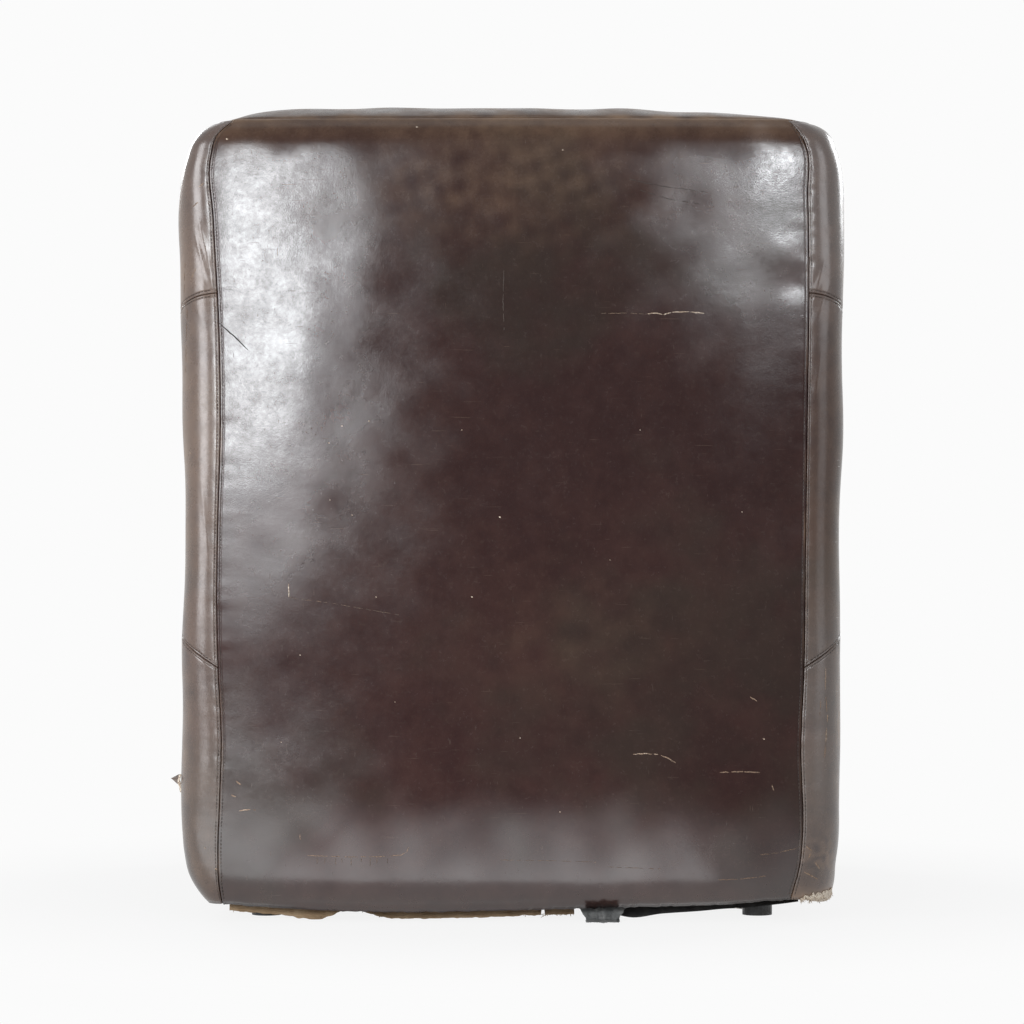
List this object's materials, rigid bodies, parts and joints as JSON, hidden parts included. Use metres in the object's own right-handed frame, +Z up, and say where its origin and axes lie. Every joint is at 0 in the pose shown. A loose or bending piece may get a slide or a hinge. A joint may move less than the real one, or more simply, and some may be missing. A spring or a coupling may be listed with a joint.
{
  "type": "club chair",
  "caption": "Worn dark brown leather club chair with boxy padded arms, a loose seat cushion and low glides, torn underneath.",
  "frame": {"origin": "on the floor, under the centre of the overall box", "axes": "+X to the chair's side that shows at the picture's left, +Y out of its back, +Z up"},
  "size_m": [0.75, 0.8, 0.92],
  "materials": {
    "leather": "worn semi-gloss aniline, scuffed and scratched",
    "wood": "raw sawn hardwood",
    "spring_steel": "oiled wire",
    "webbing": "woven jute",
    "padding": "felted cotton",
    "hessian": "coarse weave, frayed",
    "dust_cloth": "thin non-woven, dusty",
    "grey_cloth": "torn felt, dusty",
    "glide_plastic": "moulded, scuffed"
  },
  "bodies": {
    "root": {"arm_cover_left": "leather", "arm_cover_right": "leather", "arm_front_left": "leather", "arm_front_right": "leather", "arm_inside_padding_left": "padding", "arm_inside_padding_right": "padding", "arm_outside_left": "leather", "arm_outside_right": "leather", "arm_post_left": "wood", "arm_post_right": "wood", "arm_rail_left": "wood", "arm_rail_right": "wood", "arm_side_padding_left": "padding", "arm_side_padding_right": "padding", "arm_top_padding_left": "padding", "arm_top_padding_right": "padding", "back_lumbar_rail": "wood", "back_padding": "padding", "back_post_left": "wood", "back_post_right": "wood", "back_side_left": "leather", "back_side_right": "leather", "back_strap_1": "webbing", "back_strap_2": "webbing", "back_strap_3": "webbing", "back_top_rail": "wood", "base_side_left": "leather", "base_side_right": "leather", "corner_block_back_left": "wood", "corner_block_back_right": "wood", "corner_block_front_left": "wood", "corner_block_front_right": "wood", "corner_padding_left": "padding", "corner_padding_right": "padding", "dust_cover": "dust_cloth", "front_border": "leather", "glide_back_left": "glide_plastic", "glide_back_right": "glide_plastic", "glide_front_left": "glide_plastic", "glide_front_right": "glide_plastic", "hessian_strip": "hessian", "inside_back": "leather", "outside_back_panel": "leather", "rail_back": "wood", "rail_front": "wood", "rail_side_left": "wood", "rail_side_right": "wood", "seat_cushion": "leather", "seat_deck": "hessian", "seat_spring_1": "spring_steel", "seat_spring_2": "spring_steel", "seat_spring_3": "spring_steel", "seat_spring_4": "spring_steel", "seat_spring_5": "spring_steel", "top_band": "leather", "torn_flap": "grey_cloth"}
  },
  "joints": []
}
